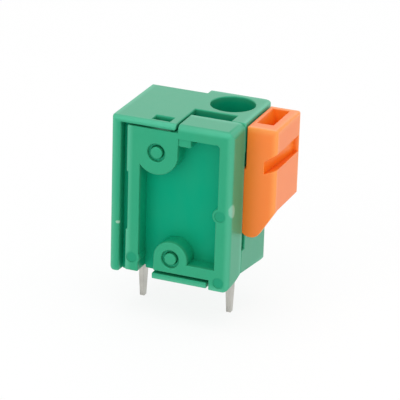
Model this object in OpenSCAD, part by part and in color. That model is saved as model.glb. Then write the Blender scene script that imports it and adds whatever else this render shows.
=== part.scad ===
// Single-pole spring terminal block for a circuit board, released by a tilting lever.
// The origin is midway between the two solder pins, on the board.
// +X points to the lever, +Y away from the side cover, +Z up. All sizes are in millimetres.

/* [Board fit] */
// Distance between the two solder pins
pin_spacing = 7.5; // [7:0.1:8.5]
// Length of each pin below the board's face
pin_len = 3.5; // [2.5:0.1:5]
// Width of each pin across the block
pin_w = 1; // [0.7:0.05:1.1]
// Width left at a pin's tip
pin_tip_w = 0.45; // [0.3:0.05:0.6]
// Length of a pin's tapered tip
pin_tip_len = 2; // [0.5:0.1:2.4]
// Clearance round a pin in the floor
pin_play = 0.1; // [0.05:0.01:0.2]

/* [Body] */
// Height of the block above the board
body_hgt = 13.2; // [12.6:0.1:15]
// Rear face behind the rear pin
rear_margin = 1.15; // [1:0.01:1.5]
// Front face ahead of the front pin
front_margin = 1.39; // [1.2:0.01:1.8]
// Cover's outer face beside the pins
near_margin = 4.2; // [4.1:0.05:4.6]
// Far face beside the pins
far_margin = 3.72; // [3.6:0.02:4.2]
// Thickness of the rear and front walls
wall_t = 0.76; // [0.6:0.02:0.9]
// Thickness of the far wall
far_t = 0.52; // [0.4:0.02:0.7]
// Thickness of the roof plate
roof_t = 0.46; // [0.4:0.01:0.6]
// Thickness of the floor plate
floor_t = 0.65; // [0.5:0.01:0.8]
// Air under the floor plate
stand_off = 0.05; // [0.03:0.01:0.15]
// Rise of the front wall's lower edge beside the cover
front_rise = 0.62; // [0.3:0.02:0.9]
// Rise of the rear wall's lower edge above the board
rear_rise = 0.16; // [0.1:0.02:0.4]
// Radius of the rear wall's lower corner
rear_corner_r = 0.35; // [0.2:0.05:0.5]
// Radius of the rear wall's two upright edges beside the cover
wall_edge_r = 0.22; // [0.1:0.02:0.24]
// Radius of the roof's edge beside the cover
roof_edge_r = 0.38; // [0.2:0.02:0.38]
// Length of the slot in the roof
roof_slot_len = 1.48; // [1:0.02:1.8]
// Width of the slot in the roof
roof_slot_w = 0.92; // [0.6:0.02:1.1]
// Roof slot behind the roof's front edge
roof_slot_in = 0.69; // [0.5:0.01:1]
// Roof slot behind the cover's outer face
roof_slot_side = 0.54; // [0.4:0.01:0.7]

/* [Wire entry] */
// Radius of the round wire entry
wire_r = 1.785; // [1.6:0.005:1.9]
// Straight depth of the wire entry
wire_depth = 3.8; // [3:0.1:4.4]
// Radius at the funnel's lower end
funnel_r = 1; // [0.8:0.05:1.3]
// Length of the funnel
funnel_len = 1; // [0.6:0.05:1.4]
// Wire axis behind the front face
entry_in = 2.52; // [2.45:0.01:2.8]
// Wire axis beside the pins
entry_y = 2.17; // [2.05:0.01:2.4]
// Wall beside the wire entry
entry_wall = 0.53; // [0.4:0.01:0.6]
// Wall behind the wire entry
entry_back = 1; // [0.8:0.02:1.2]
// Radius of the tower's far front corner
tower_corner_r = 0.75; // [0.3:0.05:0.75]
// Lower end of the bulge on the far wall
bulge_z = 4.4; // [3.8:0.1:4.8]

/* [Side cover] */
// Thickness of the cover
cover_t = 2.65; // [2.5:0.01:2.8]
// Depth of the pocket in the cover's outer face
pocket_depth = 1.5; // [1.1:0.05:1.7]
// Width of the rim round the pocket
rim_w = 1.1; // [0.9:0.02:1.3]
// Extra rim width at the lower front
rim_step = 0.14; // [0.05:0.01:0.25]
// Height at which the front rim widens
rim_step_z = 6.3; // [5:0.1:7]
// Width of the groove beside the rear wall
groove_w = 0.54; // [0.45:0.01:0.7]
// Depth of the groove beside the rear wall
groove_depth = 0.9; // [0.7:0.05:1.6]
// Length of the cover's top block
block_len = 4.57; // [4.4:0.01:4.8]
// Gap between the cover and the roof plate
seam = 0.18; // [0.08:0.01:0.24]
// Gap between the cover and the housing's inner faces
cover_fit = 0.05; // [0.02:0.01:0.08]
// Height of the rail above the floor tongue
rail_h = 0.92; // [0.7:0.02:1.1]
// Gap between the rail and the floor tongue
rail_gap = 0.25; // [0.15:0.01:0.35]
// Floor tongue behind the cover's outer face
tongue_in = 0.06; // [0.02:0.02:0.3]
// Thickness of the floor tongue
tongue_t = 0.5; // [0.4:0.05:0.6]
// Reach of the floor tongue past the rail's end
tongue_out = 0.14; // [0.06:0.02:0.2]
// Length of the front foot
foot_len = 1.67; // [1.4:0.01:1.9]
// Width of the front foot's flat sole
foot_t = 0.4; // [0.3:0.05:0.9]
// Rise of the pocket's open lower end above the board
open_rise = 0.18; // [0.1:0.01:0.4]
// Rise of the rear rim's lower end above the board
strip_rise = 0.42; // [0.2:0.02:0.6]
// Depth of the relief in the rear rim's outer edge
relief = 0.12; // [0.05:0.01:0.2]
// Lower end of the relief
relief_z = 3.9; // [3:0.1:4.5]
// Length of the relief
relief_len = 4.8; // [4:0.1:5.5]
// Radius of the upper boss
upper_boss_r = 1.8; // [1.6:0.02:1.95]
// Radius of the lower boss
lower_boss_r = 1.42; // [1.3:0.02:1.5]
// Length of the nub beside the upper boss
nub_len = 1.03; // [0.8:0.01:1.3]
// Height of the nub below the pocket's upper edge
nub_h = 0.66; // [0.4:0.02:0.8]
// Depth of the nub below the rim
nub_in = 0.1; // [0.05:0.05:0.8]
// Radius of the cover's front upright edge
cover_edge_r = 0.5; // [0.2:0.05:0.6]
// Radius of the cover's upper edge
cover_top_r = 0.5; // [0.2:0.05:0.6]
// Radius of the cover's upper front corner
cover_front_r = 0.6; // [0.3:0.05:0.8]
// Radius of the pocket's upper front corner
pocket_r = 0.3; // [0.1:0.05:0.5]
// Radius of the cover's lower front corner
cover_foot_r = 0.5; // [0.2:0.05:0.6]
// Radius of a round ejector mark
ejector_r = 0.44; // [0.3:0.02:0.5]
// Depth of an ejector mark
ejector_depth = 0.05; // [0.02:0.01:0.1]
// Wall round an ejector mark
ejector_wall = 0.2; // [0.1:0.02:0.3]
// Height of the ejector mark on the rear rim
ejector_rear_z = 1.57; // [1.2:0.01:2]
// Height of the ejector mark on the front foot
ejector_foot_z = 0.73; // [0.6:0.01:0.9]

/* [Pegs] */
// Radius of the two pegs
peg_r = 0.49; // [0.42:0.01:0.56]
// Radial gap of a peg in the cover
peg_fit = 0.02; // [0.01:0.01:0.05]
// Outer radius of the ring round a peg's end
ring_r = 0.74; // [0.68:0.01:0.9]
// Depth of the ring round a peg's end
ring_depth = 0.3; // [0.1:0.05:0.6]
// Upper peg ahead of the rear face
upper_peg_in = 3.74; // [3.5:0.02:3.9]
// Upper peg below the top
upper_peg_drop = 2.56; // [2.4:0.02:2.8]
// Pivot peg behind the front face
pivot_in = 4.92; // [4.8:0.02:5]

/* [Lever] */
// Travel of the lever in degrees
lever_throw = 18; // [10:1:18]
// Radial clearance of the lever on its pivot
pivot_play = 0.05; // [0.02:0.01:0.08]
// Radius of the lever's hub
hub_r = 1.15; // [1:0.05:1.2]
// Thickness of the lever's web
web_t = 0.52; // [0.4:0.02:0.6]
// Clearance on each side of the web
web_play = 0.08; // [0.05:0.01:0.15]
// Gap between the lever's head and the front face
head_gap = 0.1; // [0.06:0.02:0.2]
// Thickness of the lever's head
head_t = 2.5; // [2.3:0.01:2.7]
// Width of the lever's head
head_w = 5.17; // [4.8:0.01:5.4]
// Radius of the head's two outer upright edges
head_edge_r = 0.2; // [0.1:0.05:0.25]
// Radius of the head's upper outer edge
head_top_r = 0.2; // [0.1:0.05:0.3]
// Head's top below the block's top
head_drop = 0.23; // [0.1:0.01:0.5]
// Radius of the lever's heel
heel_r = 0.9; // [0.7:0.02:1]
// Heel's centre ahead of the head's back
heel_in = 0.52; // [0.4:0.02:0.6]
// Height of the heel's centre
heel_z = 4.74; // [4.6:0.02:5.2]
// Angle of the heel's slant from upright
slant_deg = 32; // [26:0.5:38]
// Angle of the head's underside from upright
under_deg = 50; // [45:1:60]
// Height of the tool notch's lower lip
notch_z = 9.75; // [9.2:0.05:10.2]
// Height of the tool notch at its mouth
notch_h = 1.3; // [1:0.05:1.5]
// Depth of the tool notch
notch_depth = 1.04; // [0.8:0.02:1.2]
// Depth of the tool notch at its far end
notch_far_depth = 0.4; // [0.3:0.02:0.6]
// Fall of the tool notch in degrees
notch_deg = 36; // [25:1:42]
// Wall at the far end of the tool notch
notch_wall = 0.3; // [0.2:0.02:0.6]
// Taper of the tool notch towards its end
notch_taper = 0.3; // [0:0.02:0.4]
// Tool pocket ahead of the head's back
tool_in = 0.61; // [0.5:0.01:0.7]
// Width of the tool pocket along the block
tool_t = 1.07; // [0.8:0.01:1.2]
// Length of the tool pocket across the block
tool_w = 3.55; // [3:0.05:3.7]
// Tool pocket's end inside the head's far face
tool_side = 0.45; // [0.3:0.05:0.7]
// Depth of the tool pocket
tool_depth = 1.5; // [1:0.1:1.7]
// Run of the ramp into the tool pocket
ramp_run = 0.3; // [0.1:0.05:0.4]
// Depth of the ramp into the tool pocket
ramp_depth = 0.7; // [0.4:0.05:1]
// Height of the web's upper edge
web_z1 = 9.5; // [9:0.1:10]
// Web's upper rear corner behind the front face
web_in = 3.1; // [2.8:0.1:3.4]
// Room above the web in the front slit
slit_room = 1.26; // [0.6:0.02:1.6]
// Front end of the slit in the top, behind the front face
slit_in = 1.26; // [1:0.02:1.5]

/* [Contact and spring] */
// Thickness of the contact's strip
stock_t = 0.4; // [0.3:0.02:0.5]
// Inner radius of the contact's bends
bend_r = 0.2; // [0.1:0.05:0.3]
// Width of the contact's upright tab
tab_w = 1.7; // [1.4:0.05:1.8]
// Tab's clamping face behind the wire axis
tab_in = 0.72; // [0.6:0.02:0.8]
// Tab's top below the funnel
tab_drop = 0.6; // [0.4:0.05:0.8]
// Gap between the contact and the far wall
side_gap = 0.15; // [0.08:0.01:0.25]
// Thickness of the spring's strip
spring_t = 0.3; // [0.24:0.01:0.36]
// Radius of the spring's loop at mid thickness
loop_r = 2.5; // [2.3:0.02:2.6]
// Gap between the loop and the rear wall
loop_gap = 0.35; // [0.2:0.01:0.5]
// Gap between the spring's lower leg and the pivot peg
leg_gap = 0.1; // [0.04:0.01:0.16]
// Near edge of the spring beside the pins
spring_y0 = 0.3; // [0.1:0.02:0.4]
// Clearance round the tab in the spring's window
window_play = 0.15; // [0.1:0.01:0.2]
// Gap between the spring's lip and the tab
lip_gap = 0.04; // [0.02:0.01:0.08]
// Length of the spring's lip
lip_h = 0.9; // [0.7:0.05:1.1]
// Gap between the spring's ear and the lever
ear_gap = 0.08; // [0.05:0.01:0.15]
// Room for the ear's lift in the lever
ear_room = 1; // [0.8:0.05:1.2]
// Room for the ear's travel in the lever
ear_travel = 1.2; // [1:0.05:1.3]

/* [Hidden] */
$fn = 64;
// Overlap that joins or cuts faces cleanly
eps = 0.02;
// Angle in the hub where the web's edges start
hub_deg = 30;

// Faces of the block
x_rear = -pin_spacing / 2 - rear_margin;
x_front = pin_spacing / 2 + front_margin;
x_rear_in = x_rear + wall_t;
x_front_in = x_front - wall_t;
y_near = -near_margin;
y_far = far_margin;
y_far_in = y_far - far_t;
y_split = y_near + cover_t;
z_roof = body_hgt - roof_t;
floor_z0 = stand_off;
floor_z1 = stand_off + floor_t;

// Stack on the floor: contact strip, spring leg, pivot peg
strip_z1 = floor_z1 + stock_t;
leg_z1 = strip_z1 + spring_t;
pivot_x = x_front - pivot_in;
pivot_z = leg_z1 + leg_gap + peg_r;
pivot = [pivot_x, pivot_z];
upper_peg = [x_rear + upper_peg_in, body_hgt - upper_peg_drop];

// Wire entry tower
entry_x = x_front - entry_in;
tower_x0 = entry_x - wire_r - entry_back;
tower_y0 = entry_y - wire_r - entry_wall;
tower_y1 = entry_y + wire_r + entry_wall;
throat_top_z = body_hgt - wire_depth;
tower_z = throat_top_z - funnel_len;

// Side cover
strip_x0 = x_rear_in + groove_w;
strip_x1 = strip_x0 + rim_w;
block_x0 = x_front - block_len;
roof_x1 = block_x0 - seam;
rail_x0 = pivot_x - lower_boss_r;
tongue_z1 = floor_z0 + tongue_t;
tongue_x0 = rail_x0 - tongue_out;
rail_z0 = tongue_z1 + rail_gap;
rail_z1 = rail_z0 + rail_h;
foot_x0 = x_front - foot_len;
pocket_y = y_near + pocket_depth;
pocket_x1 = x_front - rim_w;
pocket_z1 = body_hgt - rim_w;
upper_boss_x1 = upper_peg.x + upper_boss_r;
ejector_marks = [
  [strip_x0 + rim_w / 2, ejector_rear_z],
  [foot_x0 + foot_len / 2, ejector_foot_z],
  [pocket_x1 + ejector_r / 2, rim_step_z]
];

// Lever
web_y0 = y_split + web_play;
web_y1 = web_y0 + web_t;
slit_y1 = web_y1 + web_play;
slit_x1 = x_front - slit_in;
head_x0 = x_front + head_gap;
head_x1 = head_x0 + head_t;
head_y1 = web_y0 + head_w;
head_z1 = body_hgt - head_drop;
heel = [head_x0 + heel_in, heel_z];
heel_tangent = heel + heel_r * [cos(slant_deg), -sin(slant_deg)];
slant_z = heel_tangent.y + (head_x1 - heel_tangent.x) / tan(slant_deg);
under_z = slant_z - head_t / tan(under_deg);
notch_y1 = head_y1 - notch_wall;
tool_x0 = head_x0 + tool_in;
tool_y1 = head_y1 - tool_side;

// Lower edge of the web at rest, and the slit's lower end below it at full throw
web_root_r = hub_r - peg_r / 4;
web_low = [pivot + web_root_r * [cos(hub_deg), sin(hub_deg)], [head_x0 + eps, heel_z - heel_r / 4]];
web_low_open = [for (p = web_low) turned(p)];
slit_z = lookup(x_front_in, [for (p = web_low_open) [p.x, p.y]]) - web_play;

// Contact
pin_x = pin_spacing / 2;
base_y1 = y_far_in - side_gap;
tab_x1 = entry_x - tab_in;
tab_x0 = tab_x1 - stock_t;
tab_y0 = base_y1 - tab_w;
tab_z1 = tower_z - tab_drop;
bend_out_r = bend_r + stock_t;
pin_bend_x = pin_x + stock_t / 2 - bend_out_r;
pin_bend_z = strip_z1 - bend_out_r;
pin_hole_x0 = pin_bend_x - pin_play;
pin_hole_x1 = pin_x + stock_t / 2 + pin_play;
pin_hole_y = pin_w / 2 + pin_play;

// Spring
loop_x = x_rear_in + loop_gap + spring_t / 2 + loop_r;
loop_z = strip_z1 + spring_t / 2 + loop_r;
top_leg_z1 = loop_z + loop_r + spring_t / 2;
top_leg_z0 = top_leg_z1 - spring_t;
leg_x1 = tab_x0 - 2 * bend_r;
lip_x0 = tab_x1 + lip_gap;
lip_x1 = lip_x0 + spring_t;
lip_z0 = top_leg_z1 - lip_h;
frame_y1 = tower_y1 - far_t - side_gap;
window_x0 = tab_x0 - window_play;
window_y0 = tab_y0 - window_play;
window_y1 = base_y1 + window_play;
frame_x0 = window_x0 - 2 * spring_t;

// Point of the side view after the lever's full throw
function turned(p) = pivot + [
  (p - pivot).x * cos(lever_throw) + (p - pivot).y * sin(lever_throw),
  (p - pivot).y * cos(lever_throw) - (p - pivot).x * sin(lever_throw)
];

// Extrudes a side profile, drawn in X and Z, between two Y planes
module prism(y0, y1) {
  translate([0, y1, 0])
    rotate([90, 0, 0])
      linear_extrude(y1 - y0)
        children();
}

// Extrudes a plan, drawn in X and Y, between two heights
module slab(z0, z1) {
  translate([0, 0, z0])
    linear_extrude(z1 - z0)
      children();
}

// Extrudes a front profile, drawn in Y and Z, between two X planes
module bar(x0, x1) {
  translate([x0, 0, 0])
    rotate([90, 0, 90])
      linear_extrude(x1 - x0)
        children();
}

// Rectangle between two opposite corners
module rect(a, b) {
  translate([min(a.x, b.x), min(a.y, b.y)])
    square([abs(b.x - a.x), abs(b.y - a.y)]);
}

// Waste outside a rounded corner at p, where d points into the solid
module corner_waste(p, d, r) {
  difference() {
    rect(p - d * eps, p + d * r);
    translate(p + d * r)
      circle(r);
  }
}

// Round bar along Y at a point of the side view
module rod(p, r, y0, y1) {
  prism(y0, y1)
    translate(p)
      circle(r);
}

// Rear wall with its rounded lower corner, and the rib that closes the groove
module rear_wall() {
  difference() {
    prism(y_near, y_far)
      difference() {
        rect([x_rear, rear_rise], [x_rear_in, body_hgt]);
        corner_waste([x_rear, rear_rise], [1, 1], rear_corner_r);
      }
    slab(0, z_roof)
      corner_waste([x_rear_in, y_near], [-1, 1], wall_edge_r);
  }
  prism(y_near + groove_depth, y_split)
    rect([x_rear_in - eps, floor_z0], [strip_x0 - cover_fit, body_hgt]);
}

// Roof plate over the rear half, with its slot
module roof() {
  slab(z_roof, body_hgt)
    difference() {
      rect([x_rear, y_near], [roof_x1, y_far]);
      translate([roof_x1 - roof_slot_in - roof_slot_len, y_near + roof_slot_side])
        square([roof_slot_len, roof_slot_w]);
    }
}

// Floor plate with its tongue under the cover's rail and its pin openings
module floor_plate() {
  slab(floor_z0, floor_z1)
    difference() {
      rect([x_rear_in - eps, y_split + cover_fit], [x_front_in + eps, y_far]);
      for (side = [-1, 1])
        rect([side * pin_hole_x0, -pin_hole_y], [side * pin_hole_x1, pin_hole_y]);
    }
  slab(floor_z0, tongue_z1)
    rect([tongue_x0, y_near + tongue_in], [foot_x0 - seam, y_split + cover_fit + eps]);
}

// Front wall with the slanted lower edge, between the cover and the far wall
module front_wall() {
  bar(x_front_in, x_front)
    polygon([
      [y_split + cover_fit, front_rise],
      [y_far_in, 0],
      [y_far, 0],
      [y_far, body_hgt],
      [y_split + cover_fit, body_hgt]
    ]);
}

// Plan of the tower, with its round far front corner
module tower_plan() {
  difference() {
    rect([tower_x0, tower_y0], [x_front, tower_y1]);
    corner_waste([x_front, tower_y1], [-1, -1], tower_corner_r);
  }
}

// Tower round the wire entry, the hollow bulge below it and the roof over the slit
module tower() {
  slab(tower_z, body_hgt)
    tower_plan();
  difference() {
    slab(bulge_z, tower_z + eps)
      intersection() {
        tower_plan();
        rect([tower_x0, y_far_in], [x_front, tower_y1]);
      }
    slab(bulge_z + far_t, tower_z + 2 * eps)
      rect([tower_x0 + far_t, y_far_in - eps], [x_front_in, tower_y1 - far_t]);
  }
  slab(tower_z, body_hgt)
    rect([slit_x1, y_split + cover_fit], [x_front, tower_y0 + eps]);
}

// Straight wire entry and the funnel that guides the wire to the clamp
module wire_entry() {
  translate([entry_x, entry_y, throat_top_z])
    cylinder(h = wire_depth + eps, r = wire_r);
  translate([entry_x, entry_y, tower_z - eps])
    cylinder(h = funnel_len + eps, r1 = funnel_r, r2 = wire_r);
}

// Slit for the lever's web through the front wall and the tower's side
module web_path() {
  prism(y_split, slit_y1)
    rect([slit_x1 - eps, slit_z], [x_front + eps, web_z1 + slit_room]);
}

// Moulded housing: walls, floor, roof, wire tower and the two pegs
module housing() {
  color("mediumseagreen")
    difference() {
      union() {
        rear_wall();
        roof();
        floor_plate();
        front_wall();
        tower();
        difference() {
          prism(y_far_in, y_far)
            rect([x_rear_in - eps, 0], [x_front, body_hgt]);
          prism(y_far_in - eps, y_far + eps)
            rect([tower_x0 + far_t, bulge_z + far_t], [x_front_in, tower_z]);
        }
        rod(upper_peg, peg_r, y_near, y_far_in + eps);
        rod(pivot, peg_r, y_near, y_far_in + eps);
      }
      wire_entry();
      web_path();
      slab(0, body_hgt + eps)
        corner_waste([x_rear, y_near], [1, 1], wall_edge_r);
      bar(x_rear - eps, roof_x1 + eps)
        corner_waste([y_near, body_hgt], [1, -1], roof_edge_r);
    }
}

// Outline of the cover in the side view
module cover_outline() {
  difference() {
    union() {
      rect([strip_x0, 0], [x_front, z_roof - seam]);
      rect([block_x0, 0], [x_front, body_hgt]);
    }
    corner_waste([x_front, body_hgt], [-1, -1], cover_front_r);
    corner_waste([x_front, 0], [-1, 1], cover_foot_r);
    rect([tongue_x0 - seam, -eps], [foot_x0, rail_z0]);
    rect([strip_x1, -eps], [tongue_x0, open_rise]);
    rect([strip_x0 - eps, -eps], [strip_x1 + eps, strip_rise]);
    rect([strip_x0 - eps, relief_z], [strip_x0 + relief, relief_z + relief_len]);
  }
}

// Outline of the cored pocket, around the two bosses, the rail and the rim
module pocket_outline() {
  difference() {
    rect([strip_x1, -eps], [pocket_x1, pocket_z1]);
    corner_waste([pocket_x1, pocket_z1], [-1, -1], pocket_r);
    rect([pocket_x1 - rim_step, -2 * eps], [x_front, rim_step_z]);
    translate(upper_peg)
      circle(upper_boss_r);
    rect([strip_x0, upper_peg.y], [upper_boss_x1, body_hgt]);
    translate(pivot)
      circle(lower_boss_r);
    rect([rail_x0, -2 * eps], [pivot_x, pivot_z]);
    rect([pivot_x, -2 * eps], [x_front, rail_z1]);
    for (mark = ejector_marks)
      translate(mark)
        circle(ejector_r + ejector_wall);
  }
}

// Side cover with its cored pocket, bosses, rail and foot, pushed onto the housing's pegs
module side_cover() {
  color("mediumseagreen")
    difference() {
      intersection() {
        prism(y_near, y_split)
          cover_outline();
        slab(-eps, body_hgt + eps)
          difference() {
            rect([strip_x0, y_near], [x_front, y_split]);
            corner_waste([x_front, y_near], [-1, 1], cover_edge_r);
          }
        bar(strip_x0 - eps, x_front + eps)
          difference() {
            rect([y_near, 0], [y_split, body_hgt]);
            corner_waste([y_near, body_hgt], [1, -1], cover_top_r);
          }
      }
      difference() {
        prism(y_near - eps, pocket_y)
          pocket_outline();
        prism(y_near + nub_in, pocket_y + eps)
          rect([upper_boss_x1 - eps, pocket_z1 - nub_h], [upper_boss_x1 + nub_len, pocket_z1 + eps]);
      }
      bar(foot_x0 - eps, x_front + eps)
        polygon([
          [y_near + foot_t, 0],
          [y_split + eps, front_rise],
          [y_split + eps, -eps],
          [y_near + foot_t, -eps]
        ]);
      for (peg = [upper_peg, pivot]) {
        rod(peg, peg_r + peg_fit, y_near - eps, y_split + eps);
        rod(peg, ring_r, y_near - eps, y_near + ring_depth);
      }
      for (mark = ejector_marks)
        rod(mark, ejector_r, y_near - eps, y_near + ejector_depth);
    }
}

// Side profile of the lever's head, with its sloping underside
module head_outline() {
  difference() {
    polygon([
      [head_x0, under_z],
      [head_x1, slant_z],
      [head_x1, head_z1],
      [head_x0, head_z1]
    ]);
    corner_waste([head_x1, head_z1], [-1, -1], head_top_r);
  }
}

// Side profile of the round heel under the head, and of its slant
module heel_outline() {
  translate(heel)
    circle(heel_r);
  polygon([
    [head_x0, heel_z],
    heel_tangent,
    [head_x1, slant_z],
    [head_x0, head_z1]
  ]);
}

// Side profile of the sloping tool notch
module notch_outline() {
  fall = notch_depth * tan(notch_deg);
  mouth = eps * tan(notch_deg);
  polygon([
    [head_x1 + eps, notch_z + mouth],
    [head_x1 + eps, notch_z + notch_h + mouth],
    [head_x1 - notch_depth, notch_z + notch_h - fall],
    [head_x1 - notch_depth, notch_z + notch_taper - fall]
  ]);
}

// Tool notch, shallower towards its far end
module tool_notch() {
  intersection() {
    prism(web_y0 - eps, notch_y1)
      notch_outline();
    slab(0, body_hgt)
      polygon([
        [head_x1 + 2 * eps, web_y0 - 2 * eps],
        [head_x1 + 2 * eps, notch_y1 + eps],
        [head_x1 - notch_far_depth, notch_y1 + eps],
        [head_x1 - notch_depth + eps, web_y0 - 2 * eps]
      ]);
  }
}

// Side profile of the web, from the hub on the pivot to the head
module web_outline() {
  difference() {
    union() {
      translate(pivot)
        circle(hub_r);
      polygon([
        pivot + web_root_r * [-cos(hub_deg), sin(hub_deg)],
        web_low[0],
        web_low[1],
        [head_x0 + eps, web_z1],
        [x_front - web_in, web_z1]
      ]);
    }
    translate(pivot)
      circle(peg_r + pivot_play);
    rect([lip_x0 - ear_gap, lip_z0 - ear_gap], [lip_x1 + ear_travel, top_leg_z1 + ear_room]);
  }
}

// Lever: the head with its tool notch and pocket, and the web and heel that turn on the pivot peg
module lever() {
  color("darkorange")
    difference() {
      union() {
        prism(web_y0, web_y1) {
          web_outline();
          heel_outline();
        }
        prism(web_y0, head_y1)
          head_outline();
      }
      tool_notch();
      slab(0, body_hgt) {
        corner_waste([head_x1, web_y0], [-1, 1], head_edge_r);
        corner_waste([head_x1, head_y1], [-1, -1], head_edge_r);
      }
      prism(tool_y1 - tool_w, tool_y1)
        polygon([
          [tool_x0 - ramp_run, head_z1 + eps],
          [tool_x0 - ramp_run, head_z1],
          [tool_x0, head_z1 - ramp_depth],
          [tool_x0, head_z1 - tool_depth],
          [tool_x0 + tool_t, head_z1 - tool_depth],
          [tool_x0 + tool_t, head_z1 + eps]
        ]);
    }
}

// Quarter of a bend in the contact's strip, on the side q of its centre
module quarter_bend(mid, q) {
  intersection() {
    difference() {
      translate(mid)
        circle(bend_out_r);
      translate(mid)
        circle(bend_r);
    }
    rect(mid, mid + q * bend_out_r);
  }
}

// Side profile of one solder pin and the bend that joins it to the base
module pin_outline(side) {
  quarter_bend([side * pin_bend_x, pin_bend_z], [side, 1]);
  rect([side * pin_x - stock_t / 2, -pin_len], [side * pin_x + stock_t / 2, pin_bend_z]);
}

// Front profile of a pin with its tapered tip
module pin_width() {
  polygon([
    [-pin_w / 2, strip_z1],
    [-pin_w / 2, pin_tip_len - pin_len],
    [-pin_tip_w / 2, -pin_len],
    [pin_tip_w / 2, -pin_len],
    [pin_w / 2, pin_tip_len - pin_len],
    [pin_w / 2, strip_z1]
  ]);
}

// Contact: one bent strip with two solder pins and the tab that the wire is clamped to
module contact() {
  tab_mid = [tab_x0 - bend_r, strip_z1 + bend_r];
  color("lightgray") {
    for (side = [-1, 1])
      intersection() {
        prism(-pin_w / 2, pin_w / 2)
          pin_outline(side);
        bar(-2 * pin_x, 2 * pin_x)
          pin_width();
      }
    slab(floor_z1, strip_z1) {
      rect([-pin_bend_x, -pin_w / 2], [pin_bend_x, pin_w / 2]);
      rect([-pin_bend_x, -pin_w / 2], [tab_mid.x, base_y1]);
    }
    prism(tab_y0, base_y1) {
      quarter_bend(tab_mid, [1, -1]);
      rect([tab_x0, tab_mid.y], [tab_x1, tab_z1]);
    }
  }
}

// Side profile of the spring's floor leg, rear loop and upper leg
module spring_outline() {
  difference() {
    translate([loop_x, loop_z])
      circle(loop_r + spring_t / 2);
    translate([loop_x, loop_z])
      circle(loop_r - spring_t / 2);
    rect([loop_x, 0], [loop_x + 2 * loop_r, body_hgt]);
  }
  rect([loop_x - eps, strip_z1], [leg_x1, leg_z1]);
  rect([loop_x - eps, top_leg_z0], [frame_x0 + eps, top_leg_z1]);
}

// Leaf spring: floor leg, rear loop, and the window, lip and ear that the lever pulls
module clamp_spring() {
  color("silver") {
    prism(spring_y0, base_y1)
      spring_outline();
    slab(top_leg_z0, top_leg_z1)
      difference() {
        rect([frame_x0, spring_y0], [lip_x1, frame_y1]);
        rect([window_x0, window_y0], [lip_x0, window_y1]);
      }
    prism(web_y0, frame_y1)
      rect([lip_x0, lip_z0], [lip_x1, top_leg_z1]);
  }
}

housing();
side_cover();
lever();
contact();
clamp_spring();
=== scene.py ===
"""Dresses a spring terminal block: moulded edges, plastic and metal finishes, floor, light and camera.

The solids come from the frame, in metres, with +X towards the lever, +Y away from the side cover and +Z up.
"""

from __future__ import annotations

import logging
import math
from dataclasses import dataclass
from enum import Enum

import bmesh
import bpy
from mathutils import Matrix, Vector


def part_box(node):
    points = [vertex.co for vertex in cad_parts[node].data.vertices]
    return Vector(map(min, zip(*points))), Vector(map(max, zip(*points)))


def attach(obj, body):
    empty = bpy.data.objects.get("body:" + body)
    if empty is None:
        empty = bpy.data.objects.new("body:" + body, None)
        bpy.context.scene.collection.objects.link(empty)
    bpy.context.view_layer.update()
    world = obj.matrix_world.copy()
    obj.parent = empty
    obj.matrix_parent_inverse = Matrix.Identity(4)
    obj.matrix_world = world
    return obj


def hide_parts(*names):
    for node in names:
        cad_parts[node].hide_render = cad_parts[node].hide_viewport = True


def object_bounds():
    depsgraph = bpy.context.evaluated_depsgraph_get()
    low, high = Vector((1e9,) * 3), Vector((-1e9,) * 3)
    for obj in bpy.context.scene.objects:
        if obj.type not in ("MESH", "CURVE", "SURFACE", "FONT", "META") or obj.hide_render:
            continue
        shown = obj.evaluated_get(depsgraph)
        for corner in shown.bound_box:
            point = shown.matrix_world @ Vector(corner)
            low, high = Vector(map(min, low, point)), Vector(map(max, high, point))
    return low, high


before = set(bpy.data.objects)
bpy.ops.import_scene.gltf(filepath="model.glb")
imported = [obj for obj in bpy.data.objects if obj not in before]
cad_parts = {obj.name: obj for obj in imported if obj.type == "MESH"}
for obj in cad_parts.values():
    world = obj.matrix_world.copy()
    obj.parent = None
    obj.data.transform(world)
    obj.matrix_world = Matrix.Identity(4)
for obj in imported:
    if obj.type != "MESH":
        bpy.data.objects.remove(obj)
cad_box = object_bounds()

log = logging.getLogger("terminal_block")

MM = 0.001

Node = bpy.types.Node
NodeTree = bpy.types.NodeTree
Socket = bpy.types.NodeSocket
Edge = bmesh.types.BMEdge
Loop = bmesh.types.BMLoop
Value = float | Socket
Colour = tuple[float, float, float]
Place = tuple[float, float, float]
WHITE = (1.0, 1.0, 1.0)


class Ramp(Enum):
    """How a value rises between the two ends of a range."""

    EVEN = "LINEAR"
    SOFT = "SMOOTHSTEP"


class EdgeForm(Enum):
    """How an edge is finished: its number of steps when it is rounded."""

    MOULDED = 3
    SHEARED = 1


class Body(Enum):
    """The moving bodies of the part."""

    BLOCK = "block"
    LEVER = "lever"


class Slot(Enum):
    """The finishes that the record names."""

    HOUSING = "housing_plastic"
    COVER = "cover_plastic"
    LEVER = "lever_plastic"
    CONTACT = "tinned_contact"
    SPRING = "spring_steel"


# Shader tools

# A noise texture's value on average
MEAN_NOISE = 0.5


def rgba(colour: Colour) -> tuple[float, float, float, float]:
    """Gives a colour with full opacity."""
    return (*colour, 1.0)


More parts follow.
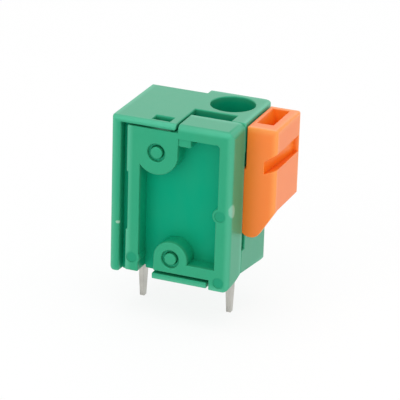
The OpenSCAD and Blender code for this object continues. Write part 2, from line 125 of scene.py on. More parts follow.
@dataclass
class Shader:
    """A node tree with short ways to add nodes and links.

    Attributes:
        tree: the node tree that is being filled.
    """

    tree: NodeTree

    def own(self, kind: str) -> Node:
        """Finds the node of a kind that the tree came with."""
        return next(node for node in self.tree.nodes if node.type == kind)

    def add(self, kind: str, **settings: object) -> Node:
        """Adds a node and sets its properties.

        Args:
            kind: the node's Blender type.
            **settings: properties of the node, by name.

        Returns:
            The new node.
        """
        node = self.tree.nodes.new(kind)
        for name, value in settings.items():
            setattr(node, name, value)
        return node

    def put(self, value: object, socket: Socket) -> None:
        """Links an input to a socket, or sets it to a plain value.

        Args:
            value: the socket or the plain value.
            socket: the input that takes it.
        """
        if isinstance(value, Socket):
            self.tree.links.new(value, socket)
        else:
            socket.default_value = value

    def feed(self, node: Node, **values: object) -> Node:
        """Sets or links a node's inputs.

        Args:
            node: the node to feed.
            **values: a socket to link or a value to set, by the input's name with _ for each space.

        Returns:
            The same node.
        """
        for name, value in values.items():
            self.put(value, node.inputs[name.replace("_", " ")])
        return node

    def compute(self, operation: str, *values: Value) -> Socket:
        """Adds a sum on up to three values.

        Args:
            operation: the Math node's operation.
            *values: its values, in order.

        Returns:
            The result.
        """
        node = self.add("ShaderNodeMath", operation=operation)
        for value, socket in zip(values, node.inputs):
            self.put(value, socket)
        return node.outputs[0]

    def vectors(self, operation: str, first: Socket, second: Socket) -> Socket:
        """Adds a sum on two vectors.

        Args:
            operation: the Vector Math node's operation.
            first: its first vector.
            second: its second vector.

        Returns:
            The resulting vector.
        """
        node = self.add("ShaderNodeVectorMath", operation=operation)
        self.put(first, node.inputs[0])
        self.put(second, node.inputs[1])
        return node.outputs["Vector"]

    def split(self, vector: Socket) -> dict[str, Socket]:
        """Splits a vector into its values, by axis."""
        node = self.feed(self.add("ShaderNodeSeparateXYZ"), Vector=vector)
        return {axis: node.outputs[axis] for axis in "XYZ"}

    def noise(self, coordinates: Socket, scale: float, detail: float) -> Socket:
        """Adds a noise texture.

        Args:
            coordinates: where the noise is read.
            scale: its number of patches in a metre.
            detail: its number of finer layers.

        Returns:
            The noise's value, MEAN_NOISE on average.
        """
        node = self.add("ShaderNodeTexNoise")
        self.feed(node, Vector=coordinates, Scale=scale, Detail=detail)
        return node.outputs["Fac"]

    def streaks(self, coordinates: Socket, scale: float, detail: float, stretch: float) -> Socket:
        """Adds a noise that is drawn out into upright streaks.

        Args:
            coordinates: where the noise is read.
            scale: its number of patches in a metre, across the streaks.
            detail: its number of finer layers.
            stretch: a streak's length, in its widths.

        Returns:
            The noise's value, MEAN_NOISE on average.
        """
        lines = self.add("ShaderNodeMapping")
        self.feed(lines, Vector=coordinates, Scale=(1.0, 1.0, 1.0 / stretch))
        return self.noise(lines.outputs["Vector"], scale, detail)

    def vary(self, noise: Socket, mean: Socket, spread: Socket) -> Socket:
        """Varies a value round its mean by a noise.

        Args:
            noise: the noise.
            mean: the value's mean.
            spread: how far the value varies.

        Returns:
            The varied value.
        """
        return self.compute("MULTIPLY_ADD", self.compute("SUBTRACT", noise, MEAN_NOISE), spread, mean)

    def remap(
        self, value: Socket, source: tuple[Value, Value], target: tuple[Value, Value], ramp: Ramp = Ramp.SOFT
    ) -> Socket:
        """Maps a value from one range onto another.

        Args:
            value: the value to map.
            source: the two ends of its range.
            target: the results at those ends.
            ramp: how the result rises between them.

        Returns:
            The mapped value.
        """
        (from_start, from_end), (to_start, to_end) = source, target
        node = self.add("ShaderNodeMapRange", interpolation_type=ramp.value)
        self.feed(node, Value=value, From_Min=from_start, From_Max=from_end, To_Min=to_start, To_Max=to_end)
        return node.outputs["Result"]

    def mix(self, factor: Socket, first: Socket | Colour, second: Socket | Colour) -> Socket:
        """Mixes two colours.

        Args:
            factor: the share of the second colour.
            first: the first colour.
            second: the second colour.

        Returns:
            The mixed colour.
        """
        node = self.add("ShaderNodeMix", data_type="RGBA")
        inputs = {socket.identifier: socket for socket in node.inputs}
        self.put(factor, inputs["Factor_Float"])
        for name, colour in (("A_Color", first), ("B_Color", second)):
            self.put(colour if isinstance(colour, Socket) else rgba(colour), inputs[name])
        return next(socket for socket in node.outputs if socket.identifier == "Result_Color")

    def bump(self, height: Socket, strength: float, depth_mm: float) -> Socket:
        """Adds a relief to the surface.

        Args:
            height: the relief's height.
            strength: the share of the relief that shows.
            depth_mm: the depth that a height of 1 stands for.

        Returns:
            The relief's normal.
        """
        node = self.add("ShaderNodeBump")
        self.feed(node, Strength=strength, Distance=depth_mm * MM, Height=height)
        return node.outputs["Normal"]

    def seen(self) -> Socket:
        """Marks what the camera sees straight, in a reflection or through clear material.

        Returns:
            1 where it is seen so, and 0 where it only lights other things.
        """
        path = self.add("ShaderNodeLightPath")
        direct = self.compute("ADD", path.outputs["Is Camera Ray"], path.outputs["Is Glossy Ray"])
        return self.compute("ADD", direct, path.outputs["Is Transmission Ray"])


def start_material(name: str) -> tuple[bpy.types.Material, Shader, Node]:
    """Starts a material with an empty Principled surface.

    Args:
        name: the material's name.

    Returns:
        The material, its shader tools and its Principled node.
    """
    material = bpy.data.materials.new(name)
    material.use_nodes = True
    shader = Shader(material.node_tree)
    return material, shader, shader.own("BSDF_PRINCIPLED")


# Shared effects

FLOAT = "NodeSocketFloat"
VECTOR = "NodeSocketVector"
COLOUR = "NodeSocketColor"

# How much a moulding's painted sheen, flow streaks and drift lighten it, and the level taken off the last
# two
SHEEN_TINT = 0.75
FLOW_TINT = 0.35
DRIFT_TINT = 0.45
TINT_OFF = 0.28
# The drift's height against the grain's
DRIFT_RELIEF = 1.5
# A mark's raggedness, and where it ends and where it is full, in its half lengths
MARK_RAGGED = 0.3
MARK_END = 1.35
MARK_FULL = 0.95
# How much the lines and the clouds of a strip each dull it
STRIP_TINT = 0.5


def new_group(
    name: str, inputs: dict[str, str], outputs: dict[str, str]
) -> tuple[Shader, dict[str, Socket], Node]:
    """Starts a shader node group.

    Args:
        name: the group's name.
        inputs: each input's socket type, by name.
        outputs: each output's socket type, by name.

    Returns:
        The group's shader tools, its inputs by name, and the node that takes its outputs.
    """
    tree = bpy.data.node_groups.new(name, "ShaderNodeTree")
    for socket, kind in inputs.items():
        tree.interface.new_socket(socket, in_out="INPUT", socket_type=kind)
    for socket, kind in outputs.items():
        tree.interface.new_socket(socket, in_out="OUTPUT", socket_type=kind)
    shader = Shader(tree)
    start = shader.add("NodeGroupInput")
    return shader, {socket: start.outputs[socket] for socket in inputs}, shader.add("NodeGroupOutput")


class SharedGroup(Enum):
    """The effects that more than one finish uses."""

    MOULD_SKIN = "mould_skin"
    OUTER_FACES = "outer_faces"
    SKIN_MARK = "skin_mark"
    ROLLED_STRIP = "rolled_strip"

    def place(self, shader: Shader, **values: object) -> Node:
        """Places this group in a material, and builds it the first time.

        Args:
            shader: the material's shader tools.
            **values: the group's inputs.

        Returns:
            The group's node.
        """
        tree = bpy.data.node_groups.get(self.value) or GROUP_BUILDERS[self]()
        return shader.feed(shader.add("ShaderNodeGroup", node_tree=tree), **values)


def build_mould_skin() -> NodeTree:
    """Builds the skin of a moulding: a painted sheen outside, a recess colour within, slow colour drift,
    flow streaks and a fine grain.

    Returns:
        The group's tree.
    """
    shader, given, end = new_group(
        SharedGroup.MOULD_SKIN.value,
        {
            "Coordinates": VECTOR,
            "RecessColour": COLOUR,
            "SheenColour": COLOUR,
            "SheenMask": FLOAT,
            "Gloss": FLOAT,
            "Spread": FLOAT,
        },
        {"Color": COLOUR, "Roughness": FLOAT, "Height": FLOAT},
    )
    drift = shader.noise(given["Coordinates"], scale=190.0, detail=3.0)
    flow = shader.streaks(given["Coordinates"], scale=900.0, detail=2.0, stretch=4.0)
    grain = shader.noise(given["Coordinates"], scale=16000.0, detail=2.0)
    tint = shader.compute("MULTIPLY_ADD", flow, FLOW_TINT, shader.compute("MULTIPLY", drift, DRIFT_TINT))
    tint = shader.compute("SUBTRACT", tint, TINT_OFF)
    # The sheen mask lays the painted sheen over the random drift and streaks
    level = shader.compute("MULTIPLY_ADD", given["SheenMask"], SHEEN_TINT, tint)
    shader.feed(
        end,
        Color=shader.mix(level, given["RecessColour"], given["SheenColour"]),
        Roughness=shader.vary(grain, given["Gloss"], given["Spread"]),
        Height=shader.compute("MULTIPLY_ADD", drift, DRIFT_RELIEF, grain),
    )
    return shader.tree


def build_outer_faces() -> NodeTree:
    """Builds masks of a moulding's outer faces and outer edges, which fade with depth below its box; they
    place its painted sheen and painted edge highlights.

    Returns:
        The group's tree.
    """
    shader, given, end = new_group(
        SharedGroup.OUTER_FACES.value,
        {"Coordinates": VECTOR, "Low": VECTOR, "High": VECTOR, "Reach": FLOAT},
        {"Faces": FLOAT, "Edges": FLOAT},
    )
    low = shader.vectors("SUBTRACT", given["Coordinates"], given["Low"])
    high = shader.vectors("SUBTRACT", given["High"], given["Coordinates"])
    depth = shader.split(shader.vectors("MINIMUM", low, high))
    x, y, z = (shader.remap(depth[axis], (0.0, given["Reach"]), (1.0, 0.0)) for axis in "XYZ")
    edges = shader.compute("MULTIPLY", x, y)
    for first, second in ((y, z), (z, x)):
        edges = shader.compute("MAXIMUM", edges, shader.compute("MULTIPLY", first, second))
    faces = shader.compute("MAXIMUM", shader.compute("MAXIMUM", x, y), z)
    shader.feed(end, Faces=faces, Edges=edges)
    return shader.tree


def build_skin_mark() -> NodeTree:
    """Builds the mask of an oval mark with a soft, ragged edge at one place of a surface.

    Returns:
        The group's tree.
    """
    shader, given, end = new_group(
        SharedGroup.SKIN_MARK.value,
        {"Coordinates": VECTOR, "Centre": VECTOR, "Turn": VECTOR, "Reach": VECTOR},
        {"Mask": FLOAT},
    )
    own_place = shader.add("ShaderNodeMapping", vector_type="TEXTURE")
    shader.feed(
        own_place,
        Vector=given["Coordinates"],
        Location=given["Centre"],
        Rotation=given["Turn"],
        Scale=given["Reach"],
    )
    distance = shader.add("ShaderNodeVectorMath", operation="LENGTH")
    shader.feed(distance, Vector=own_place.outputs["Vector"])
    uneven = shader.noise(given["Coordinates"], scale=6000.0, detail=3.0)
    ragged = shader.compute("MULTIPLY_ADD", uneven, MARK_RAGGED, distance.outputs["Value"])
    shader.feed(end, Mask=shader.remap(ragged, (MARK_END, MARK_FULL), (0.0, 1.0)))
    return shader.tree


def build_rolled_strip() -> NodeTree:
    """Builds the skin of rolled strip: long fine lines and cloudy dull patches.

    Returns:
        The group's tree.
    """
    shader, given, end = new_group(
        SharedGroup.ROLLED_STRIP.value,
        {"Coordinates": VECTOR, "Bright": COLOUR, "Dull": COLOUR, "Gloss": FLOAT, "Spread": FLOAT},
        {"Color": COLOUR, "Roughness": FLOAT, "Height": FLOAT},
    )
    rolled = shader.streaks(given["Coordinates"], scale=9000.0, detail=3.0, stretch=12.5)
    cloud = shader.noise(given["Coordinates"], scale=1100.0, detail=4.0)
    dull = shader.compute("MULTIPLY", shader.compute("ADD", rolled, cloud), STRIP_TINT)
    shader.feed(
        end,
        Color=shader.mix(dull, given["Bright"], given["Dull"]),
        Roughness=shader.vary(cloud, given["Gloss"], given["Spread"]),
        Height=rolled,
    )
    return shader.tree


GROUP_BUILDERS = {
    SharedGroup.MOULD_SKIN: build_mould_skin,
    SharedGroup.OUTER_FACES: build_outer_faces,
    SharedGroup.SKIN_MARK: build_skin_mark,
    SharedGroup.ROLLED_STRIP: build_rolled_strip,
}


# Finishes


@dataclass(frozen=True)
class SkinMark:
    """An oval mark painted on a moulding, lighter or darker than its skin.

    Attributes:
        centre_mm: the mark's middle.
        reach_mm: its half lengths along its own axes.
        colour: its colour.
        turn_deg: its turn about X.
    """

    centre_mm: Place
    reach_mm: Place
    colour: Colour
    turn_deg: float = 0.0

    def mask(self, shader: Shader, coordinates: Socket) -> Socket:
        """Adds the mark's mask to a material.

        Args:
            shader: the material's shader tools.
            coordinates: the surface's own coordinates.

        Returns:
            The mask, 1 on the mark.
        """
        group = SharedGroup.SKIN_MARK.place(
            shader,
            Coordinates=coordinates,
            Centre=[value * MM for value in self.centre_mm],
            Turn=(math.radians(self.turn_deg), 0.0, 0.0),
            Reach=[value * MM for value in self.reach_mm],
        )
        return group.outputs["Mask"]


@dataclass(frozen=True)
class MouldedPlastic:
    """Moulded plastic with a satin skin.

    Attributes:
        name: the material's name.
        recess_colour: its colour in recesses, painted shade on the green and painted light on the orange.
        sheen_colour: its colour under the painted sheen, on outer faces and on all that looks to the far
            side.
        edge: its colour along outer edges, a painted highlight.
        sheen_reach_mm: the depth at which the painted sheen of the outer faces ends.
        roughness: the skin's mean roughness.
        spread: how far the roughness varies.
        ior: the plastic's refraction.
        tint: the colour of its straight reflection; a grazing one stays white.
        gloss_skin: the weight of the resin-rich skin, which veils the faces seen at a low angle.
        skin_roughness: that skin's roughness.
        relief: the share of the grain's relief that shows.
        relief_mm: the depth of that relief.
        marks: the oval marks painted on it: light spots and the painted shade of ejector discs.
    """

    name: str
    recess_colour: Colour
    sheen_colour: Colour
    edge: Colour
    sheen_reach_mm: float = 0.6
    roughness: float = 0.37
    spread: float = 0.18
    ior: float = 1.58
    tint: Colour = WHITE
    gloss_skin: float = 0.12
    skin_roughness: float = 0.35
    relief: float = 0.12
    relief_mm: float = 0.02
    marks: tuple[SkinMark, ...] = ()

    def material(self, node: str) -> bpy.types.Material:
        """Builds the finish's material.

        Args:
            node: the solid that wears it.

        Returns:
            The material.
        """
        material, shader, surface = start_material(self.name)
        texture_space = shader.add("ShaderNodeTexCoord")
        coordinates = texture_space.outputs["Object"]
        low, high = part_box(node)
        outside = SharedGroup.OUTER_FACES.place(
            shader, Coordinates=coordinates, Low=low, High=high, Reach=self.sheen_reach_mm * MM
        )
        # Painted sheen: outer faces and faces turned to +Y take the sheen colour, recesses keep the recess
        # colour; the same mask weights the coat
        far_side = shader.split(texture_space.outputs["Normal"])["Y"]
        sheen_mask = shader.compute("MAXIMUM", outside.outputs["Faces"], far_side)
        skin = SharedGroup.MOULD_SKIN.place(
            shader,
            Coordinates=coordinates,
            SheenMask=sheen_mask,
            RecessColour=rgba(self.recess_colour),
            SheenColour=rgba(self.sheen_colour),
            Gloss=self.roughness,
            Spread=self.spread,
        )
        # Painted highlight along the outer edges
        colour = shader.mix(outside.outputs["Edges"], skin.outputs["Color"], self.edge)
        # Light spots and the painted shade of the ejector discs
        for mark in self.marks:
            colour = shader.mix(mark.mask(shader, coordinates), colour, mark.colour)
        shader.feed(
            surface,
            Base_Color=colour,
            Roughness=skin.outputs["Roughness"],
            Normal=shader.bump(skin.outputs["Height"], self.relief, self.relief_mm),
            IOR=self.ior,
            Specular_Tint=rgba(self.tint),
            Coat_Weight=shader.compute("MULTIPLY", sheen_mask, self.gloss_skin),
            Coat_Roughness=self.skin_roughness,
        )
        return material


@dataclass(frozen=True)
class RolledMetal:
    """Metal strip, bare or tinned.

    Attributes:
        name: the material's name.
        bright: the colour of its clean metal.
        dull: the colour of its dull patches.
        roughness: its mean roughness.
        spread: how far the roughness varies.
        relief: the share of the lines' relief that shows.
        relief_mm: the depth of that relief.
    """

    name: str
    bright: Colour
    dull: Colour
    roughness: float = 0.38
    spread: float = 0.2
    relief: float = 0.15
    relief_mm: float = 0.01

    def material(self, node: str) -> bpy.types.Material:
        """Builds the finish's material.

        Args:
            node: the solid that wears it.

        Returns:
            The material.
        """
        material, shader, surface = start_material(f"{self.name}_{node}")
        skin = SharedGroup.ROLLED_STRIP.place(
            shader,
            Coordinates=shader.add("ShaderNodeTexCoord").outputs["Object"],
            Bright=rgba(self.bright),
            Dull=rgba(self.dull),
            Gloss=self.roughness,
            Spread=self.spread,
        )
        shader.feed(
            surface,
            Base_Color=skin.outputs["Color"],
            Roughness=skin.outputs["Roughness"],
            Normal=shader.bump(skin.outputs["Height"], self.relief, self.relief_mm),
            Metallic=1.0,
        )
        return material


# Colours and marks

# The recess colours are painted shade on the green and painted light on the orange, the sheen colours a
# painted sheen, the edge colours painted highlights and the ejector colour painted shade
GREEN_RECESS = (0.0, 0.31, 0.16)
GREEN_SHEEN = (0.035, 0.313, 0.156)
GREEN_EDGE_HIGHLIGHT = (0.09, 0.42, 0.25)
GREEN_EJECTOR_SHADE = (0.015, 0.27, 0.135)
GREEN_TINT = (0.05, 1.0, 0.75)
ORANGE_RECESS = (0.97, 0.245, 0.012)
ORANGE_SHEEN = (0.92, 0.19, 0.006)
ORANGE_EDGE_HIGHLIGHT = (0.97, 0.3, 0.045)

# A small light spot painted on the rear wall's lip
LIGHT_LIP_SPOT = SkinMark(
    centre_mm=(-4.25, -4.15, 4.33),
    reach_mm=(0.2, 0.2, 0.12),
    colour=(0.3, 0.5, 0.36),
)
# A light oval painted on the cover's front face
LIGHT_FRONT_MARK = SkinMark(
    centre_mm=(5.12, -3.75, 6.75),
    reach_mm=(0.3, 0.42, 0.56),
    colour=(0.22, 0.5, 0.36),
    turn_deg=20.0,
)
# The cover's outer face, along Y, and the ejector discs on it, along X and Z; the discs are painted darker,
# a painted shade of their shallow recesses
COVER_FACE_MM = -4.2
EJECTORS_MM = ((-3.05, 1.57), (4.305, 0.73), (4.26, 6.3))
EJECTOR_REACH_MM = (0.44, 0.2, 0.44)
EJECTOR_SHADES = tuple(
    SkinMark((x, COVER_FACE_MM, z), EJECTOR_REACH_MM, GREEN_EJECTOR_SHADE) for x, z in EJECTORS_MM
)


# Edge tests

# Width that a round needs on each face, in radii
ROOM = 1.1
# Least cosine of the angle between the two edges of a strip
PARALLEL = 0.98
# A fold below this bounds no strip
FLAT_DEG = 1.0
# Where a strip is measured, as shares of its edge
PROBES = (0.1, 0.5, 0.9)


def depths(loop: Loop) -> list[float]:
    """Measures how far each corner of a face lies from one of its edges.

    Args:
        loop: the face's corner at which the edge starts.

    Returns:
        The distances square to the edge, in metres.
    """
    start = loop.vert.co
    along = (loop.link_loop_next.vert.co - start).normalized()
    return [(vert.co - start).cross(along).length for vert in loop.face.verts]


def strip_width(loop: Loop, standing: set[Edge]) -> float:
    """Measures the width that an edge may use of a face: half of a strip whose other edge stands out too.

    Args:
        loop: the face's corner at which the edge starts.
        standing: the edges that stand out.

    Returns:
        The smallest width at the probes along the edge, in metres.
    """
    start = loop.vert.co
    span = loop.link_loop_next.vert.co - start
    along = span.normalized()
    inward = loop.face.normal.cross(along)
    width = math.inf
    for other in loop.face.loops:
        first, last = other.vert.co - start, other.link_loop_next.vert.co - start
        flat = other.edge.calc_face_angle(math.pi) < math.radians(FLAT_DEG)
        if other == loop or flat or abs((last - first).normalized().dot(along)) < PARALLEL:
            continue
        low, high = first.dot(along), last.dot(along)
        for place in (share * span.length for share in PROBES):
            if min(low, high) <= place <= max(low, high):
                depth = first.lerp(last, (place - low) / (high - low)).dot(inward)
                if depth > 0.0:
                    width = min(width, depth / 2.0 if other.edge in standing else depth)
    return width


# Pieces

# Corners closer than this are one
WELD_MM = 0.002
# Facets with less of a fold between them are one face
PLANE_DEG = 0.5
# Corners within this of the mating side lie on it
TOUCH_MM = 0.01
# The bevel's profile for a quarter circle
ROUND_PROFILE = 0.5


def add_object(name: str, data: bpy.types.ID) -> bpy.types.Object:
    """Adds an object to the scene.

    Args:
        name: the object's name.
        data: its mesh, lamp or lens.

    Returns:
        The object.
    """
    thing = bpy.data.objects.new(name, data)
    bpy.context.scene.collection.objects.link(thing)
    return thing


@dataclass
class Piece:
    """One piece of the block: its solid's form with finished edges, dressed in its finish.

    Attributes:
        node: the solid's name in the frame.
        name: the dressed piece's name.
        body: the body that it moves with.
        slot: the record's finish that it takes; not used.
        finish: its material's recipe.
        edge_mm: the radius of its edges.
        form: how its edges are finished.
        sharp_deg: the least fold that is rounded.
        crisp_deg: the least fold that stays crisp in the shading.
        mating_side: True where its +Y side mates with another piece and keeps plain edges.
    """

    node: str
    name: str
    body: Body
    slot: Slot
    finish: MouldedPlastic | RolledMetal
    edge_mm: float = 0.1
    form: EdgeForm = EdgeForm.MOULDED
    sharp_deg: float = 32.0
    crisp_deg: float = 50.0
    mating_side: bool = False

    def build(self) -> bpy.types.Object:
        """Builds the piece's mesh and dresses it.

        Returns:
            The finished piece, on its body.
        """
        piece = add_object(self.name, self.shape())
        smooth = piece.modifiers.new("even_shading", "WEIGHTED_NORMAL")
        smooth.keep_sharp = True
        self.dress(piece)
        return piece

    def shape(self) -> bpy.types.Mesh:
        """Copies the solid's mesh, joins its flat facets and finishes its edges.

        Returns:
            The finished mesh.
        """
        form = bmesh.new()
        form.from_mesh(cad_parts[self.node].data)
        bmesh.ops.remove_doubles(form, verts=form.verts, dist=WELD_MM * MM)
        plane = math.radians(PLANE_DEG)
        bmesh.ops.dissolve_limit(form, angle_limit=plane, verts=form.verts, edges=form.edges)
        self.round_edges(form)
        self.set_shading(form)
        mesh = bpy.data.meshes.new(self.name)
        form.to_mesh(mesh)
        form.free()
        # The solid's stored normals don't fit the rounded form
        if "custom_normal" in mesh.attributes:
            mesh.attributes.remove(mesh.attributes["custom_normal"])
        return mesh

    def round_edges(self, form: bmesh.types.BMesh) -> None:
        """Rounds the edges that stand out and have room, within the solid's box.

        Args:
            form: the piece's mesh.
        """
        low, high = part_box(self.node)
        standing = {edge for edge in form.edges if self.stands_out(edge, high.y)}
        bmesh.ops.bevel(
            form,
            geom=[edge for edge in form.edges if edge in standing and self.has_room(edge, standing)],
            offset=self.edge_mm * MM,
            offset_type="OFFSET",
            segments=self.form.value,
            profile=ROUND_PROFILE,
            affect="EDGES",
            clamp_overlap=False,
        )
        for vert in form.verts:
            vert.co = [min(max(value, least), most) for value, least, most in zip(vert.co, low, high)]

    def set_shading(self, form: bmesh.types.BMesh) -> None:
        """Shades the faces smooth and keeps the sharp folds crisp.

        Args:
            form: the piece's mesh.
        """
        form.normal_update()
        for face in form.faces:
            face.smooth = True
        for edge in form.edges:
            edge.smooth = edge.is_manifold and edge.calc_face_angle() < math.radians(self.crisp_deg)

    def stands_out(self, edge: Edge, mating_y: float) -> bool:
        """Tells whether an edge is convex and sharp, off the mating side and with no shallow wall beside it.

        Args:
            edge: the edge to test.
            mating_y: where the piece's far side lies, in metres.

        Returns:
            True where the edge could be rounded.
        """
        if not edge.is_manifold or edge.calc_face_angle_signed() < math.radians(self.sharp_deg):
            return False
        if self.mating_side and all(vert.co.y > mating_y - TOUCH_MM * MM for vert in edge.verts):
            return False
        return min(max(depths(loop)) for loop in edge.link_loops) > ROOM * self.edge_mm * MM

    def has_room(self, edge: Edge, standing: set[Edge]) -> bool:
        """Tells whether an edge's radius fits on both of its faces."""
        return min(strip_width(loop, standing) for loop in edge.link_loops) > ROOM * self.edge_mm * MM

    def dress(self, piece: bpy.types.Object) -> None:
        """Gives the piece its finish and its body, and hides the solid that it stands for.

        Args:
            piece: the piece to dress.
        """
        piece.data.materials.append(self.finish.material(self.node))
        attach(piece, self.body.value)
        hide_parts(self.node)


@dataclass
class Housing(Piece):
    """The moulded housing: rear wall, roof, wire tower, front wall, floor and pegs."""

    node: str = "housing"
    name: str = "housing_moulding"
    body: Body = Body.BLOCK
    slot: Slot = Slot.HOUSING
    finish: MouldedPlastic = MouldedPlastic(
        "housing_green", GREEN_RECESS, GREEN_SHEEN, GREEN_EDGE_HIGHLIGHT, tint=GREEN_TINT, marks=(LIGHT_LIP_SPOT,)
    )


@dataclass
class SideCover(Piece):
    """The side cover with its cored pocket, pushed onto the housing's pegs."""

    node: str = "side_cover"
    name: str = "cover_moulding"
    body: Body = Body.BLOCK
    slot: Slot = Slot.COVER
    finish: MouldedPlastic = MouldedPlastic(
        "cover_green", GREEN_RECESS, GREEN_SHEEN, GREEN_EDGE_HIGHLIGHT, tint=GREEN_TINT, marks=(LIGHT_FRONT_MARK, *EJECTOR_SHADES)
    )
    mating_side: bool = True


@dataclass
class Lever(Piece):
    """The release lever with its tool notch and tool pocket."""

    node: str = "lever"
    name: str = "lever_moulding"
    body: Body = Body.LEVER
    slot: Slot = Slot.LEVER
    finish: MouldedPlastic = MouldedPlastic("lever_orange", ORANGE_RECESS, ORANGE_SHEEN, ORANGE_EDGE_HIGHLIGHT)
    edge_mm: float = 0.06


@dataclass
class Contact(Piece):
    """The tinned contact strip with its two solder pins."""

    node: str = "contact"
    name: str = "contact_strip"
    body: Body = Body.BLOCK
    slot: Slot = Slot.CONTACT
    finish: RolledMetal = RolledMetal("tinned_strip", bright=(0.66, 0.65, 0.6), dull=(0.36, 0.35, 0.32))
    edge_mm: float = 0.03
    form: EdgeForm = EdgeForm.SHEARED


@dataclass
class ClampSpring(Piece):
    """The leaf spring that clamps the wire."""

    node: str = "clamp_spring"
    name: str = "spring_leaf"
    body: Body = Body.BLOCK
    slot: Slot = Slot.SPRING
    finish: RolledMetal = RolledMetal(
        "rolled_spring_steel", bright=(0.6, 0.6, 0.61), dull=(0.42, 0.42, 0.44), roughness=0.32
    )
    edge_mm: float = 0.02
    form: EdgeForm = EdgeForm.SHEARED


# Stage and camera


def direction(azimuth_deg: float, elevation_deg: float) -> Vector:
    """Finds the unit vector from the object to a place round it.

    Args:
        azimuth_deg: the place's direction, 0 towards the cover's side and 90 towards the lever.
        elevation_deg: its height, as an angle.

    Returns:
        The unit vector.
    """
    azimuth, elevation = math.radians(azimuth_deg), math.radians(elevation_deg)
    flat = math.cos(elevation)
    return Vector((math.sin(azimuth) * flat, -math.cos(azimuth) * flat, math.sin(elevation)))


@dataclass(frozen=True)
class Softbox:
    """A large soft lamp.

    Attributes:
        name: the lamp's name.
        azimuth_deg: its direction round the object, 0 towards the cover's side.
        elevation_deg: its height above the floor, as an angle.
        watts: its power.
        distance_m: its distance from the object.
        side_m: the side of its square face.
    """

    name: str
    azimuth_deg: float
    elevation_deg: float
    watts: float
    distance_m: float = 0.5
    side_m: float = 0.45

    def place(self, target: Vector) -> None:
        """Adds the lamp, turned to the object.

        Args:
            target: the point that it faces.
        """
        lamp = bpy.data.lights.new(self.name, "AREA")
        lamp.energy = self.watts
        lamp.size = self.side_m
        box = add_object(self.name, lamp)
        away = direction(self.azimuth_deg, self.elevation_deg)
        box.location = target + away * self.distance_m
        box.rotation_euler = away.to_track_quat("Z", "Y").to_euler()


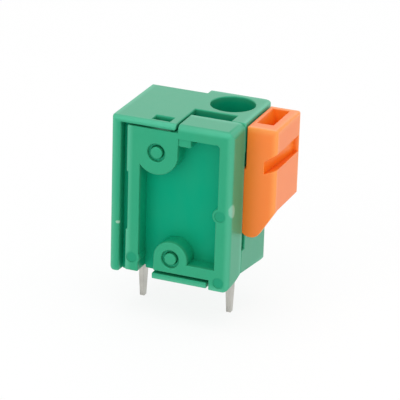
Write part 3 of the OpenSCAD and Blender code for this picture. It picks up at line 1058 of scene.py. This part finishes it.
@dataclass(frozen=True)
class Stage:
    """The pale floor, the room's light and the lamps.

    Attributes:
        floor_m: the floor's half side.
        floor_colour: the floor's colour where light falls on it.
        floor_roughness: its roughness.
        floor_white: the share of plain white in its look.
        room_light: the strength of the room's even light.
        lamps: the soft lamps.
    """

    floor_m: float = 1.5
    floor_colour: Colour = (0.98, 0.98, 0.98)
    floor_roughness: float = 0.9
    floor_white: float = 0.85
    room_light: float = 0.58
    lamps: tuple[Softbox, ...] = (
        Softbox("key_softbox", azimuth_deg=-15.0, elevation_deg=20.0, watts=0.7),
        Softbox("fill_softbox", azimuth_deg=40.0, elevation_deg=20.0, watts=0.35),
        Softbox("right_softbox", azimuth_deg=105.0, elevation_deg=15.0, watts=0.4),
        Softbox("back_softbox", azimuth_deg=200.0, elevation_deg=25.0, watts=0.2),
        Softbox("top_softbox", azimuth_deg=10.0, elevation_deg=80.0, watts=0.9),
    )

    def build(self) -> None:
        """Builds the floor and sets the light."""
        low, high = (Vector(corner) for corner in cad_box)
        self.lay_floor(low.z)
        self.light_room()
        for lamp in self.lamps:
            lamp.place((low + high) / 2)

    def lay_floor(self, height: float) -> None:
        """Lays the floor under the pins.

        Args:
            height: the floor's height.
        """
        form = bmesh.new()
        bmesh.ops.create_grid(form, x_segments=1, y_segments=1, size=self.floor_m)
        mesh = bpy.data.meshes.new("floor")
        form.to_mesh(mesh)
        form.free()
        floor = add_object("floor", mesh)
        floor.location.z = height
        floor.data.materials.append(self.floor_material())

    def floor_material(self) -> bpy.types.Material:
        """Builds the floor's pale look: white to the eye and in reflections, with a soft shadow.

        Returns:
            The material.
        """
        material, shader, surface = start_material("floor_white")
        shader.feed(surface, Base_Color=rgba(self.floor_colour), Roughness=self.floor_roughness)
        glow = shader.add("ShaderNodeEmission")
        share = shader.compute("MULTIPLY", shader.seen(), self.floor_white)
        mix = shader.add("ShaderNodeMixShader")
        for value, socket in zip((share, surface.outputs[0], glow.outputs[0]), mix.inputs):
            shader.put(value, socket)
        shader.feed(shader.own("OUTPUT_MATERIAL"), Surface=mix.outputs[0])
        return material

    def light_room(self) -> None:
        """Sets the room's even light, white where the camera or a reflection sees it."""
        world = bpy.data.worlds.new("room")
        world.use_nodes = True
        bpy.context.scene.world = world
        shader = Shader(world.node_tree)
        strength = shader.remap(shader.seen(), (0.0, 1.0), (self.room_light, 1.0), Ramp.EVEN)
        shader.feed(shader.own("BACKGROUND"), Color=rgba(WHITE), Strength=strength)


@dataclass(frozen=True)
class PhotoCamera:
    """The camera that saw the real block.

    Attributes:
        azimuth_deg: its direction round the object, 0 towards the cover's side.
        elevation_deg: its height, as an angle.
        roll_deg: its roll to the left.
        target_mm: the point in the middle of its picture.
        distance_mm: its distance from that point.
        focal_px: its focal length in pixels of the picture.
        picture_px: the side of the picture.
        sensor_mm: the width of its sensor.
        near_m: the nearest distance that it sees.
        far_m: the farthest distance that it sees.
    """

    azimuth_deg: float = 21.488
    elevation_deg: float = 22.153
    roll_deg: float = 1.798
    target_mm: Place = (1.1832, -0.6108, 5.8584)
    distance_mm: float = 184.896
    focal_px: float = 2353.9
    picture_px: int = 400
    sensor_mm: float = 36.0
    near_m: float = 0.01
    far_m: float = 10.0

    def place(self) -> None:
        """Adds the camera and makes it the scene's own."""
        lens = bpy.data.cameras.new("photo_camera")
        lens.sensor_width = self.sensor_mm
        lens.lens = self.sensor_mm * self.focal_px / self.picture_px
        lens.clip_start = self.near_m
        lens.clip_end = self.far_m
        camera = add_object("photo_camera", lens)
        back = direction(self.azimuth_deg, self.elevation_deg)
        azimuth = math.radians(self.azimuth_deg)
        level = Vector((math.cos(azimuth), math.sin(azimuth), 0.0))
        turn = Matrix((level, back.cross(level), back)).transposed().to_4x4()
        roll = Matrix.Rotation(math.radians(self.roll_deg), 4, "Z")
        place = Matrix.Translation(Vector(self.target_mm) * MM + back * self.distance_mm * MM)
        camera.matrix_world = place @ turn @ roll
        bpy.context.scene.camera = camera


def main() -> None:
    """Builds the pieces in order, then the stage and the camera."""
    logging.basicConfig(level=logging.INFO, format="%(name)s: %(message)s")
    bpy.context.scene.view_settings.view_transform = "Standard"
    for recipe in (Housing(), SideCover(), Lever(), Contact(), ClampSpring()):
        piece = recipe.build()
        log.info("%s: %d faces, on %s", piece.name, len(piece.data.polygons), recipe.body.value)
    Stage().build()
    PhotoCamera().place()


if __name__ == "__main__":
    main()
